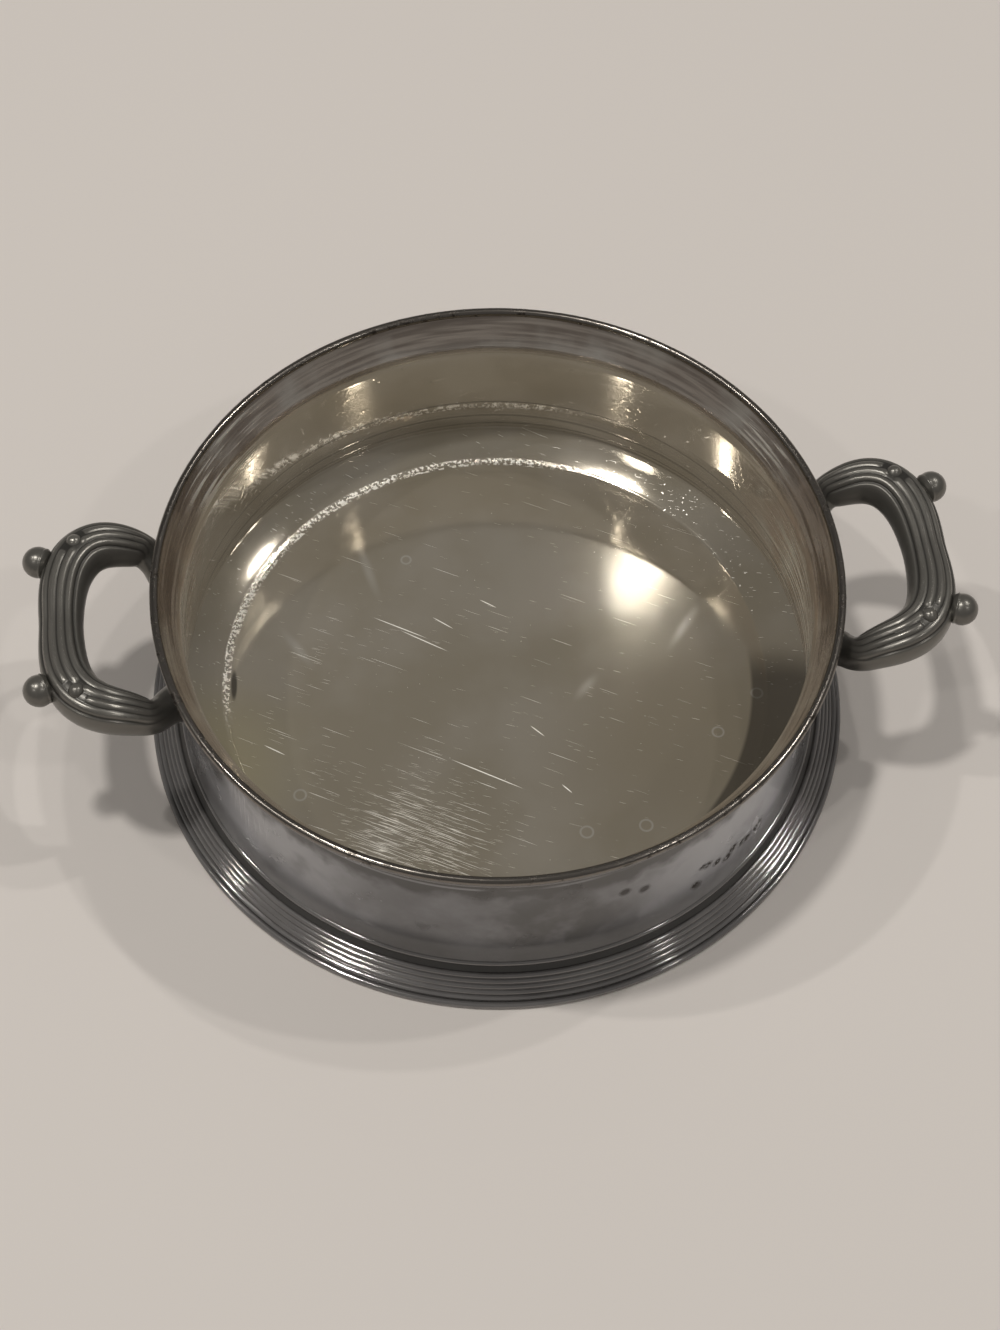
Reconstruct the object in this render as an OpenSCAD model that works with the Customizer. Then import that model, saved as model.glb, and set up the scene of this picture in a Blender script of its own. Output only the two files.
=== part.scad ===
// Two-handled bowl on a reeded foot, built up from spun, drawn and cast pieces that are soldered together.
// Millimetres. Z is up, the bowl stands on Z = 0, and the two handles lie along X.

/* [Rim and wall] */
// Radius to the centre of the bead on the rim
rim_r = 105.4; // [103:0.2:110]
// Height of the bead's centre above the table
rim_z = 69.8; // [66:0.2:78]
// Radius of the bead's round section
bead_r = 1.35; // [1.1:0.05:1.7]
// Width of the bead's flat underside beyond the wall's thickness
bead_land = 0.3; // [0.1:0.05:0.5]
// Thickness of the wall's sheet
wall_t = 1; // [0.7:0.05:1.3]
// How far the wall's narrow waist lies inside the bead's centre
waist_in = 6.4; // [3:0.2:9]
// Depth of the waist below the bead's centre
waist_drop = 11.8; // [9:0.2:16]
// Radius of the bend between the wall and the flared lip
waist_bend = 9; // [4:0.5:14]
// How far the wall's base stands out beyond the waist
base_out = 2.2; // [0:0.2:4]
// Height of the base's flare above the foot
flare_h = 8; // [6:0.5:13]
// Radius of the base's concave flare
flare_r = 30; // [22:1:50]
// How far the wall's inside widens at its toe, where the floor is soldered in
toe_gain = 1; // [0:0.1:1.4]

/* [Reeded border under the rim] */
// Number of fine reeds
border_reeds = 2; // [1:1:3]
// Spacing of the reeds along the lip
border_pitch = 2; // [1.6:0.1:2.2]
// Radius of each reed
border_r = 1.05; // [0.9:0.05:1.15]
// Distance of the first reed from the top of the lip
border_drop = 2.4; // [2.3:0.1:3]

/* [Floor] */
// Depth of the floor's flat top below the wall's toe
floor_sink = 1; // [0:0.2:3]
// Width of the floor's raised edge
floor_edge = 12.5; // [7:0.5:30]
// Height of the seam between the floor's raised edge and the wall, above the wall's toe
seam_rise = 3.2; // [2.4:0.1:5]
// Thickness of the floor
floor_t = 1.1; // [0.8:0.05:1.5]

/* [Foot] */
// How far the foot spreads beyond the wall's base
foot_out = 12.5; // [10:0.1:16]
// Height of the foot, on which the wall stands
foot_h = 11; // [9.6:0.1:12]
// Thickness of the foot's sheet
flange_t = 1.3; // [0.9:0.05:1.8]
// Radius of the ridge round the top of the foot
ridge_r = 0.95; // [0.6:0.05:1.2]
// Number of fine reeds
foot_reeds = 4; // [2:1:4]
// Spacing of the fine reeds
foot_pitch = 1.74; // [1.4:0.02:1.8]
// Radius of each fine reed
foot_reed_r = 1; // [0.92:0.02:1.1]
// Radius of the bold reed below the fine ones
bold_r = 1.25; // [1:0.05:1.4]
// Radius of the wire round the bottom edge
wire_r = 1.1; // [0.9:0.05:1.4]
// Depth of the flat that the wire stands on
wire_flat = 0.15; // [0.05:0.05:0.3]
// Distance from the wire's centre to the face that it is soldered by
wire_seat = 0.7; // [0.3:0.05:0.8]

/* [Handles] */
// Distance from the waist out to the middle of the handle's oval
loop_out = 13.3; // [11:0.1:16]
// Half length of the oval, towards the wall and away from it
loop_len = 22.3; // [20:0.1:26]
// Half width of the oval, from its middle to an arm
loop_half = 31.1; // [27:0.1:34]
// Squareness of the oval round the grip: 2 is an ellipse, more is squarer
grip_square = 2.9; // [2.4:0.1:3.6]
// Squareness of the oval towards the wall
arm_square = 1.4; // [1.3:0.1:2]
// Height of the grip's centre above the waist
grip_rise = 3.6; // [0:0.2:6]
// Drop of the arms from the grip to the wall
arm_drop = 16.5; // [13.5:0.5:18]
// How sharply the arms turn down: 1 is straight
arm_curl = 2; // [1.5:0.1:2.4]
// Width of the grip at its middle
grip_w = 13.5; // [11:0.1:15]
// Width of the handle at its corners
corner_w = 15.2; // [13:0.1:16]
// Width of an arm at the wall
arm_w = 8.8; // [8:0.1:11]
// How late the arms taper: 1 is evenly from the corner
arm_taper = 1.5; // [1:0.05:1.8]
// Height of the handle's section over its width
section_ratio = 1; // [0.9:0.01:1.1]
// Squareness of the handle's section
section_square = 2.3; // [2:0.1:3]
// Number of reeds over the handle's top
top_reeds = 4; // [3:1:5]
// Depth of the grooves between the handle's reeds
reed_depth = 0.7; // [0.2:0.05:0.9]
// Thickness of the pad between an arm and the wall
pad_t = 1; // [0.6:0.1:1.5]
// Margin of the pad round the end of the arm
pad_rim = 1; // [0.6:0.1:1.6]

/* [Knobs and studs] */
// Diameter of a ball knob
knob_d = 9.9; // [8.5:0.1:10.3]
// Distance of a ball's centre from the side of the grip
knob_stand = 2; // [1.7:0.1:3]
// Height of the knobs above the grip's centre
knob_lift = 2.1; // [0:0.1:3]
// Diameter of a knob's peg
peg_d = 3; // [2:0.1:3.6]
// Length of a knob's peg below its ball
peg_len = 3; // [2:0.1:4]
// Diameter of a stud's domed head
stud_d = 5.2; // [4.2:0.1:5.4]
// Height of a stud's head above its seat
stud_h = 2.7; // [2.6:0.1:3.2]
// Depth of a stud's seat below the crown of the arm
stud_spot = 1.8; // [1.2:0.1:2.2]
// Distance of a stud from the handle's centre line, away from the grip's gap
stud_out = 1.5; // [0:0.1:2]
// Diameter of a stud's shank
shank_d = 2.4; // [1.6:0.1:3]
// Length of a stud's shank
shank_len = 5; // [3:0.1:6]
// Play round pegs, shanks and balls
fit = 0.05; // [0.02:0.01:0.1]
// Play round a stud's head in its pocket
pocket_fit = 0.2; // [0.1:0.05:0.3]

/* [Hidden] */
$fn = 96;
arc_steps = 8;
// Flats round the section of a wire or a reed
wire_sides = 24;
eps = 0.001;

// Places along a quarter of a handle's oval: 0 is the middle of the grip and 1 the widest point of an arm
knob_at = 0.42;
joint_at = 0.48;
stud_at = 0.54;
square_from = 0.7;
square_to = 1.35;
taper_to = 1.25;
plain_from = 1;
plain_to = 1.35;
foot_at = 1.45;
arm_end = 1.65;
reed_fade = 0.07;
// Part of the oval's half length beyond which the grip is level
level_part = 0.75;
// How the floor's raised edge curves: 1 is straight
floor_curl = 1.3;

grip_rings = 20;
arm_rings = 22;
reed_steps = 6;
plain_steps = 14;
// Directions, seen along the handle, between which its top is reeded: 0 is outwards and 90 is up
reed_from = 38;
reed_to = 130;
// Part of the reeded width, from outside, whose reeds stop at the joints; the others run on
reed_stop = 0.5;

bead_seat_w = wall_t + bead_land;
bead_seat = sqrt(bead_r * bead_r - bead_seat_w * bead_seat_w / 4);
lip = [rim_r + wall_t / 2, rim_z - bead_seat];
waist_r = rim_r - waist_in;
waist_z = rim_z - waist_drop;
waist = [waist_r, waist_z];
base_r = waist_r + base_out;
base_z = foot_h + flare_h;
base = [base_r, base_z];
toe_in = base_r - wall_t + toe_gain;
floor_z = foot_h - floor_sink;
floor_r = toe_in - floor_edge;
seam_z = foot_h + seam_rise;
foot_r = base_r + foot_out;
loop_x = waist_r + loop_out;
level_x = loop_x + level_part * loop_len;
grip_z = waist_z + grip_rise;

wire_c = [foot_r - wire_r, wire_r - wire_flat];
wire_in = wire_c.x - wire_seat;

silver = [0.62, 0.6, 0.55];
pewter = [0.36, 0.36, 0.37];
tarnish = [0.22, 0.21, 0.2];

// General geometry

function unit(v) = v / norm(v);
function mix(a, b, t) = a + (b - a) * t;
function clamp01(t) = max(0, min(1, t));
function smooth(t) = let (c = clamp01(t)) c * c * (3 - 2 * c);
function flip(list) = [for (i = [len(list) - 1 : -1 : 0]) list[i]];
function shift(list, d) = [for (p = list) p + d];

// Arc of radius r that rounds the corner b between a and c
function bend(a, b, c, r) =
    let (
        u = unit(a - b),
        v = unit(c - b),
        half = acos(u * v) / 2,
        m = b + unit(u + v) * r / sin(half),
        p = b + u * r / tan(half) - m,
        q = b + v * r / tan(half) - m
    )
    [for (i = [0 : arc_steps]) m + r * unit(mix(p, q, i / arc_steps))];

// Wall: outside radius at height z on its straight part, and with the flare of its base added
function wall_r(z) = mix(base_r, waist_r, (z - base_z) / (waist_z - base_z));
function flared_r(z) = wall_r(z) + flare_r - sqrt(flare_r * flare_r - pow(max(0, base_z - z), 2));
toe_out = flared_r(foot_h);

module turned(profile) {
    rotate_extrude() polygon(profile);
}

// Section of a wire or a reed
module wire_section(centre, r) {
    polygon([for (i = [0 : wire_sides - 1]) let (a = 360 * i / wire_sides) centre + r * [cos(a), sin(a)]]);
}

module side_wall() {
    flare = [for (i = [0 : arc_steps]) let (z = mix(foot_h, base_z, i / arc_steps)) [flared_r(z), z]];
    neck = bend(base, waist, lip, waist_bend);
    skin = [-wall_t, 0];
    toe_top = seam_z + floor_t / 2;
    color(pewter) turned(concat(
        flare,
        neck,
        [lip, lip + skin],
        flip(shift(neck, skin)),
        [base + skin, [toe_in, toe_top], [toe_in, foot_h]]
    ));
}

module floor_pan() {
    edge = [
        for (i = [0 : arc_steps])
            let (t = i / arc_steps)
            [mix(floor_r, toe_in, t), mix(floor_z, seam_z, pow(t, floor_curl))]
    ];
    under = [0, -floor_t];
    color(silver) turned(concat(
        [[0, floor_z] + under],
        shift(edge, under),
        flip(edge),
        [[0, floor_z]]
    ));
}

module rim_bead() {
    color(silver) rotate_extrude() intersection() {
        wire_section([rim_r, rim_z], bead_r);
        translate([rim_r - 2 * bead_r, lip.y]) square(4 * bead_r);
    }
}

// Fine half-round reeds side by side on the outside of the lip
module rim_border() {
    down = unit(waist - lip);
    color(pewter) rotate_extrude() difference() {
        for (i = [0 : border_reeds - 1])
            wire_section(lip + down * (border_drop + i * border_pitch), border_r);
        polygon(concat([lip], flip(bend(base, waist, lip, waist_bend)), [[0, waist_z], [0, lip.y]]));
    }
}

// Pressed foot: a ridge, a groove, fine reeds and a bold reed down a sloping skirt that is open below
module foot_flange() {
    top = [toe_out, foot_h - ridge_r - fit];
    edge = [wire_in, wire_c.y + ridge_r / 2];
    down = unit(edge - top);
    inwards = [down.y, -down.x];
    bold_c = edge - down * bold_r;
    first = bold_r + foot_pitch / 2;
    under = edge + inwards * flange_t;
    color(pewter) rotate_extrude() difference() {
        union() {
            polygon([
                [toe_in, (top + inwards * flange_t).y],
                top + inwards * flange_t,
                [under.x, wire_flat],
                [wire_c.x, wire_flat],
                [wire_c.x, edge.y],
                edge,
                top + [ridge_r / 2, 0],
                [toe_out, foot_h],
                [toe_in, foot_h]
            ]);
            wire_section(top, ridge_r);
            wire_section(bold_c, bold_r);
            for (i = [0 : foot_reeds - 1])
                wire_section(bold_c - down * (first + i * foot_pitch), foot_reed_r);
        }
        translate([wire_in, 0]) square(foot_h);
    }
}

module foot_wire() {
    color(pewter) rotate_extrude() intersection() {
        wire_section(wire_c, wire_r);
        translate([wire_in, 0]) square(2 * wire_r + wire_seat);
    }
}

// Handles: points of the oval centre line, from the middle of the grip (u = 0) into the wall (u = 1.65)

function loop_point(u) =
    let (
        a = abs(u),
        v = a <= 1 ? a : 2 - a,
        n = mix(grip_square, arm_square, smooth((a - square_from) / (square_to - square_from))),
        k = pow(pow(1 - v, n) + pow(v, n), -1 / n),
        x = loop_x + (a <= 1 ? 1 : -1) * loop_len * (1 - v) * k,
        y = sign(u) * loop_half * v * k,
        down = max(0, (level_x - x) / (level_x - waist_r))
    )
    [x, y, grip_z - arm_drop * pow(down, arm_curl)];

function along(u) = unit(loop_point(u + eps) - loop_point(u - eps));
function outward(u) = unit(cross(along(u), [0, 0, 1]));
function upward(u) = cross(outward(u), along(u));

function half_w(u) =
    let (a = abs(u))
    a < joint_at
        ? mix(corner_w, grip_w, smooth(1 - a / joint_at)) / 2
        : mix(corner_w, arm_w, pow(clamp01((a - joint_at) / (taper_to - joint_at)), arm_taper)) / 2;
function half_h(u) = section_ratio * half_w(u);

// How deep the grooves are at u and at a place across the reeds: none near the wall
function reeding(u, place) =
    let (
        a = abs(u),
        at_joint = smooth(abs(a - joint_at) / reed_fade),
        run_on = smooth(top_reeds * (place - reed_stop))
    )
    reed_depth * mix(at_joint, 1, run_on) * smooth((plain_to - a) / (plain_to - plain_from));

reed_count = top_reeds * reed_steps;
section_angles = concat(
    [for (i = [0 : reed_count - 1]) mix(reed_from, reed_to, i / reed_count)],
    [for (i = [0 : plain_steps - 1]) mix(reed_to, reed_from + 360, i / plain_steps)]
);

// Point of the section at u in direction a, with the grooves between the reeds cut in
function section_point(u, a) =
    let (
        c = cos(a),
        s = sin(a),
        w = half_w(u),
        h = half_h(u),
        r = pow(pow(abs(c) / w, section_square) + pow(abs(s) / h, section_square), -1 / section_square),
        place = (a - reed_from) / (reed_to - reed_from),
        groove = place < 1 ? 1 - abs(sin(180 * top_reeds * place)) : 0
    )
    (r - reeding(u, place) * groove) * [c, s];

function ring(u) = [
    for (a = section_angles)
        let (p = section_point(u, a))
        loop_point(u) + p.x * outward(u) + p.y * upward(u)
];

// Solid swept through rings at the places in us
module sweep(us) {
    n = len(section_angles);
    last = len(us) - 1;
    points = [for (u = us) each ring(u)];
    sides = [
        for (i = [0 : last - 1], j = [0 : n - 1])
            let (a = i * n + j, b = i * n + (j + 1) % n)
            each [[a, a + n, b], [b, a + n, b + n]]
    ];
    ends = [[for (j = [0 : n - 1]) j], [for (j = [n - 1 : -1 : 0]) last * n + j]];
    polyhedron(points, concat(sides, ends), convexity = 6);
}

// Turns a right rear piece into the same piece at another corner: side -1 is left, end -1 is front
module at_corner(side, end) {
    mirror([side < 0 ? 1 : 0, 0, 0]) mirror([0, end < 0 ? 1 : 0, 0]) children();
}

// Frame of a knob: origin at the ball's centre, X outwards from the grip
module knob_frame() {
    out = outward(knob_at);
    centre = loop_point(knob_at) + (half_w(knob_at) + knob_stand) * out;
    translate(centre + [0, 0, knob_lift]) rotate([0, 0, atan2(out.y, out.x)]) children();
}

// A ball with its peg, or with play added the hollow that takes it
module ball_and_peg(play) {
    sphere(d = knob_d + 2 * play);
    rotate([0, -90, 0]) cylinder(d = peg_d + 2 * play, h = knob_d / 2 + peg_len + play);
}

// Frame of a stud: origin on its seat, Z up
module stud_frame() {
    seat = loop_point(stud_at) + stud_out * outward(stud_at);
    translate(seat + [0, 0, half_h(stud_at) - stud_spot]) children();
}

module grip(side) {
    us = [for (i = [-grip_rings / 2 : grip_rings / 2]) joint_at * 2 * i / grip_rings];
    color(tarnish) at_corner(side, 1) difference() {
        sweep(us);
        for (end = [-1, 1]) at_corner(1, end) knob_frame() ball_and_peg(fit);
    }
}

module arm(side, end) {
    us = [for (i = [0 : arm_rings]) mix(joint_at, arm_end, i / arm_rings)];
    color(tarnish) at_corner(side, end) difference() {
        sweep(us);
        stud_frame() {
            cylinder(d = stud_d + 2 * pocket_fit, h = stud_spot + stud_h);
            translate([0, 0, -shank_len - fit]) cylinder(d = shank_d + 2 * fit, h = shank_len + stud_spot);
        }
        turned([
            [0, base_z],
            [wall_r(base_z) + pad_t, base_z],
            [wall_r(waist_z) + pad_t, waist_z],
            [0, waist_z]
        ]);
    }
}

// Curved pad with round ends between an arm and the wall
module pad(side, end) {
    p = loop_point(foot_at);
    w = arm_w + 2 * pad_rim;
    h = section_ratio * arm_w / upward(foot_at).z + 2 * pad_rim;
    color(tarnish) at_corner(side, end) intersection() {
        turned([
            [wall_r(base_z), base_z],
            [wall_r(base_z) + pad_t, base_z],
            [wall_r(waist_z) + pad_t, waist_z],
            [wall_r(waist_z), waist_z]
        ]);
        translate([0, p.y, p.z]) rotate([90, 0, 90]) linear_extrude(loop_x) {
            square([w, h - w], center = true);
            for (e = [-1, 1]) translate([0, e * (h - w) / 2]) circle(d = w);
        }
    }
}

module knob(side, end) {
    color(tarnish) at_corner(side, end) knob_frame() ball_and_peg(0);
}

module stud(side, end) {
    color(tarnish) at_corner(side, end) stud_frame() {
        intersection() {
            translate([0, 0, stud_h - stud_d / 2]) sphere(d = stud_d);
            cylinder(d = stud_d, h = stud_h);
        }
        translate([0, 0, -shank_len]) cylinder(d = shank_d, h = shank_len + stud_h / 2);
    }
}

side_wall();
floor_pan();
rim_bead();
rim_border();
foot_flange();
foot_wire();
grip(-1);  // left_grip
arm(-1, -1);  // left_front_arm
arm(-1, 1);  // left_rear_arm
pad(-1, -1);  // left_front_pad
pad(-1, 1);  // left_rear_pad
knob(-1, -1);  // left_front_knob
knob(-1, 1);  // left_rear_knob
stud(-1, -1);  // left_front_stud
stud(-1, 1);  // left_rear_stud
grip(1);  // right_grip
arm(1, -1);  // right_front_arm
arm(1, 1);  // right_rear_arm
pad(1, -1);  // right_front_pad
pad(1, 1);  // right_rear_pad
knob(1, -1);  // right_front_knob
knob(1, 1);  // right_rear_knob
stud(1, -1);  // right_front_stud
stud(1, 1);  // right_rear_stud
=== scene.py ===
"""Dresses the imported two-handled bowl: turned skins, reeded cast handles, worn metal and a plain stage."""
from math import acos, asin, atan2, cos, hypot, pi, radians, sin, sqrt, tan
from types import SimpleNamespace

import bmesh
import bpy
from bpy.props import FloatProperty, FloatVectorProperty, IntProperty, PointerProperty
from mathutils import Matrix, Vector


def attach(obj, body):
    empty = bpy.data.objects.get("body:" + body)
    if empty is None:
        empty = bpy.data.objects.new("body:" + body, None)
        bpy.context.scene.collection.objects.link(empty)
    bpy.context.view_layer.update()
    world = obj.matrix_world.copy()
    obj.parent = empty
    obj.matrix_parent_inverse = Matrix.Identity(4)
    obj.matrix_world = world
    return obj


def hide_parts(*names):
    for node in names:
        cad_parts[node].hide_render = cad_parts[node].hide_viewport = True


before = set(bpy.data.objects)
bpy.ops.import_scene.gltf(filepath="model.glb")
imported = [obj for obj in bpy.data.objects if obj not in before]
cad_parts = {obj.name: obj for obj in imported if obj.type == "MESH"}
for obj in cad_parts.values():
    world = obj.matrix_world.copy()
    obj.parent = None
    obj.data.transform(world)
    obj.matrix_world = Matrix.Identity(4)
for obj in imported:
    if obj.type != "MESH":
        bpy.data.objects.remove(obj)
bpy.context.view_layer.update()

bl_info = {
    "name": "Two-handled bowl",
    "version": (1, 0, 0),
    "blender": (4, 5, 0),
    "location": "View3D > Sidebar > Bowl",
    "description": "Skins, handles and finishes of a two-handled metal bowl round its packed frame",
    "category": "Object",
}

MM = 0.001
BODY = "root"
# Radius of the small circle that profiles are turned round, which profiles are measured from
AXIS_R = 0.001
# Steps round the axis of the turned pieces
RING_STEPS = 480
RIM_STEPS = 900
BALL_STEPS = 64
STUD_STEPS = 48
# Steps along their profiles
ARC_STEPS = 14
WIRE_STEPS = 32
WALL_STEPS = 8
LIP_STEPS = 4
FLAT_STEPS = 10
EDGE_STEPS = 20
BORDER_STEPS = 12
SKIRT_STEPS = 110
# Steps along the handles, and round them over a reed, a flank and the rest
GRIP_STEPS = 180
ARM_STEPS = 200
REED_STEPS = 14
FLANK_STEPS = 6
UNDER_STEPS = 58

# Places along a quarter of a handle's oval: 0 is the middle of the grip, 1 the widest point of an arm
KNOB_AT = 0.42
JOINT_AT = 0.48
STUD_AT = 0.54
SQUARE_FROM = 0.7
SQUARE_TO = 1.35
TAPER_TO = 1.25
PLAIN_FROM = 0.86
PLAIN_TO = 1.2
FOOT_FROM = 1.1
ARM_END = 1.65
# At a stud the second reed is cut, with rounded tips, and the third dips by a part of its height
CUT_AT = STUD_AT - 0.005
CUT_HALF = 0.062
CUT_TIP = 0.045
DIP_AT = STUD_AT - 0.01
DIP_HALF = 0.015
DIP_EASE = 0.035
DIP_PART = 0.75
# Part of the oval's half length beyond which the handle is level
LEVEL_PART = 0.75
# Squareness of the oval round the grip and towards the wall, and of the handle's section
GRIP_SQUARE = 2.9
ARM_SQUARE = 1.36
SECTION_SQUARE = 2.3
# How late the arms taper and drop, and the floor's edge rises: 1 is evenly
ARM_TAPER = 1.5
ARM_CURL = 2.0
FLOOR_CURL = 0.87
# How far an arm spreads where it is soldered on, in millimetres to each side
ARM_FOOT = 2.8
# Directions, seen along the handle, between which its top is reeded: 0 is outwards and 90 is up
REED_FROM = 38.0
REED_TO = 130.0
FLANK = 8.0
# How light the plain ends of the arms are kept, which darkens them towards the wall, and how rubbed the
# unreeded sides are: 1 is like the reeds' crests
PLAIN_CREST = 0.3
SIDE_CREST = 0.7
# Collar under a ball knob: its place as a part of the ball's stand, then in millimetres its radius, how far
# it lies in and down from the ball's skin, and its step
COLLAR_AT = 0.75
COLLAR_R = 0.4
COLLAR_IN = 0.25
COLLAR_DOWN = 0.35
COLLAR_STEP = 0.5
# How deep the knobs and studs reach into the handle in millimetres
KNOB_SINK = 1.2
STUD_SINK = 0.6
# Points of a stud's profile that are rubbed bright
CROWN_POINTS = 10
# Ridge of the foot: quarter turn in steps, how many of them show, where the slope begins, and its seat
RIDGE_STEPS = 10
RIDGE_SHOWN = 8
RIDGE_END = 0.55
SEAT_IN = 0.2
# Angle in degrees up to which cast pieces are shaded smoothly
CAST_SHARP = 60.0
# Step for the direction of the handle's centre line
TINY = 0.001
# Sockets of a colour mix
MIX_FACTOR, MIX_A, MIX_B, MIX_RESULT = 0, 6, 7, 2

# Marks on the floor in the plan: long scratches, soft strokes of painted light and old water rings with
# their sizes
FLOOR_SCRATCHES = (
    ((-40.4, 29.1), (-19.7, 16.8)),
    ((-31.8, 23.1), (-13.3, 10.8)),
    ((-19.5, 26.5), (-11.7, 20.1)),
    ((-3.0, 31.7), (3.3, 27.2)),
    ((-20.5, -27.7), (6.3, -43.8)),
    ((8.4, -18.9), (13.3, -24.2)),
    ((16.0, -41.7), (19.5, -45.9)),
    ((-78.2, -17.1), (-70.2, -22.5)),
)
# Soft strokes of painted light across the floor
FLOOR_LIGHT_STREAKS = (
    ((-70.7, 28.9), (-58.1, 7.6)),
    ((71.8, 24.1), (55.8, 2.3)),
    ((34.3, -0.5), (23.1, -12.3)),
    ((-42.1, 62.3), (-35.3, 31.9)),
)
FLOOR_RINGS = (
    (22.0, -60.0, 2.0),
    (41.0, -59.6, 2.0),
    (69.0, -28.0, 1.8),
    (84.0, -14.7, 1.8),
    (-25.6, 50.1, 1.6),
    (-67.1, -37.2, 1.9),
)
# A dark nick at the floor's edge, and the radii between which the painted dark reflection along the floor's
# right edge begins
FLOOR_NICK = ((-85.6, 13.2), (-86.4, -1.0))
DARK_REFLECTION_FROM = 82.8
DARK_REFLECTION_FULL = 84.4
# Direction of the rough part of the floor's ring, and the distances along it between which it begins
ROUGH_SIDE = (-0.578, 0.816, 0.0)
ROUGH_FROM = 36.0
ROUGH_FULL = 62.0
# Pits on the wall's outside with their sizes
WALL_PITS = (
    (51.6, -87.0, 19.9, 1.8),
    (53.7, -85.2, 27.9, 1.5),
    (55.5, -84.1, 26.8, 1.8),
    (58.9, -81.9, 24.0, 1.9),
    (62.6, -79.3, 21.6, 2.2),
    (64.6, -77.6, 23.8, 2.2),
    (68.0, -74.7, 21.7, 2.0),
    (69.9, -73.0, 21.3, 2.0),
    (73.0, -69.9, 21.0, 1.8),
    (74.8, -67.9, 22.2, 1.6),
)
# Soft regions in millimetres: place, full within, gone beyond, and strength.
# The heights of those on the floor count from it
FLOOR_FILMED = (((60, -30, 0), 12, 62, 0.75),)
FLOOR_YELLOWED = (((-94, -24, 2), 6, 40, 0.85),)
FLOOR_WORKED = (((-34, -60, 0), 0, 52, 1.0),)
FLOOR_USED = (((-36, -8, 0), 30, 68, 1.0),)
FLOOR_PITTED = (((58, 62, 0), 8, 40, 1.0), ((80, 30, 0), 4, 24, 1.0))
# Where the floor's right edge carries a painted dark reflection
FLOOR_DARK_REFLECTED = (((84, -36, 0), 26, 42, 1.0),)
INSIDE_FILMED = (((100, 0, 40), 20, 62, 1.0), ((-98, 12, 48), 10, 44, 0.8))
# Where pale streaks of painted highlight lie on the wall's inside
INSIDE_PAINTED_GLINTS = (((101, -2, 28), 16, 58, 1.0), ((-98, 8, 44), 8, 42, 0.7))
# Where pale streaks of painted highlight lie on the lip
LIP_PAINTED_GLINTS = (((-89, 62, 66), 12, 30, 1.0), ((98, 50, 66), 7, 24, 1.0))
WALL_RIPPLED = (((-82, -57, 40), 6, 16, 1.0),)
# Where the wall's paler sides are a painted reflection of the lit table
WALL_TABLE_REFLECTION = (((70, -73, 32), 12, 58, 1.0), ((-80, -58, 34), 12, 62, 0.6))
WALL_BROWNED = (((6, -99, 32), 8, 36, 1.0),)
JOIN_PLACES = ((-95.5, -31, 37), (-91.5, -40, 39), (95.5, -31, 37))
WALL_JOINS = [(place, 3, 9, 0.8) for place in JOIN_PLACES]
SPOT_PLACES = ((27.7, -96.2, 38.2), (34.0, -94.3, 35.4), (52.3, -86.6, 18.9))
WALL_SPOTS = [(place, 1, 2.6, 0.8) for place in SPOT_PLACES]

# Half the table's width in metres, and the lamps: name, place, size and power
TABLE_HALF = 3.0
LAMPS = (
    ("main_lamp", (-0.64, 0.16, 2.65), 0.2, 21.0),
    ("rear_lamp", (0.455, 1.8, 2.6), 0.06, 0.24),
    ("right_rear_lamp", (1.22, 0.75, 2.6), 0.09, 7.0),
    ("right_lamp", (1.52, 0.38, 2.6), 0.09, 9.0),
    ("left_lamp", (-1.56, 0.42, 2.6), 0.09, 10.0),
    ("right_front_lamp", (1.41, -1.2, 2.6), 0.13, 5.5),
    ("left_front_lamp", (-1.5, -1.1, 2.6), 0.13, 5.0),
)
WARM_WHITE = (1.0, 0.97, 0.93)
# Light of the room at the horizon and overhead, and the height from which it is the overhead one
ROOM_LOW = 0.18
ROOM_HIGH = 0.195
ROOM_RISE = 0.8
# Darker parts of the room: direction, where the dimming begins and is full, and the light that is left
DARK_PARTS = (((-0.421, 0.521, 0.742), 0.92, 0.97, 0.45), ((0.2, 0.48, 0.854), 0.94, 0.995, 0.58))
# Camera of the view: where it stands, and its right, down and forward directions
CAMERA_AT = (-0.048044, -0.407668, 0.666702)
CAMERA_RIGHT = (0.99405613, -0.1086596, 0.00674523)
CAMERA_DOWN = (-0.08824303, -0.84046624, -0.53463041)
CAMERA_FORWARD = (0.06376186, 0.53085742, -0.84505907)
FOCAL_PX = 2357.26
FRAME_H_PX = 1330
SENSOR = 36.0


# Sizes and colours


def length(name, text, mm):
    """A size that the panel shows in the scene's units, written here in millimetres."""
    fixed = {"min": 0.0, "precision": 5, "subtype": "DISTANCE", "unit": "LENGTH"}
    return FloatProperty(name=name, description=text, default=mm * MM, **fixed)


def count(name, text, number):
    """A number of like features."""
    return IntProperty(name=name, description=text, default=number, min=1, max=8)


def colour(name, text, rgb):
    """A colour of a finish."""
    fixed = {"min": 0.0, "max": 1.0, "size": 3, "subtype": "COLOR"}
    return FloatVectorProperty(name=name, description=text, default=rgb, **fixed)


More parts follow.
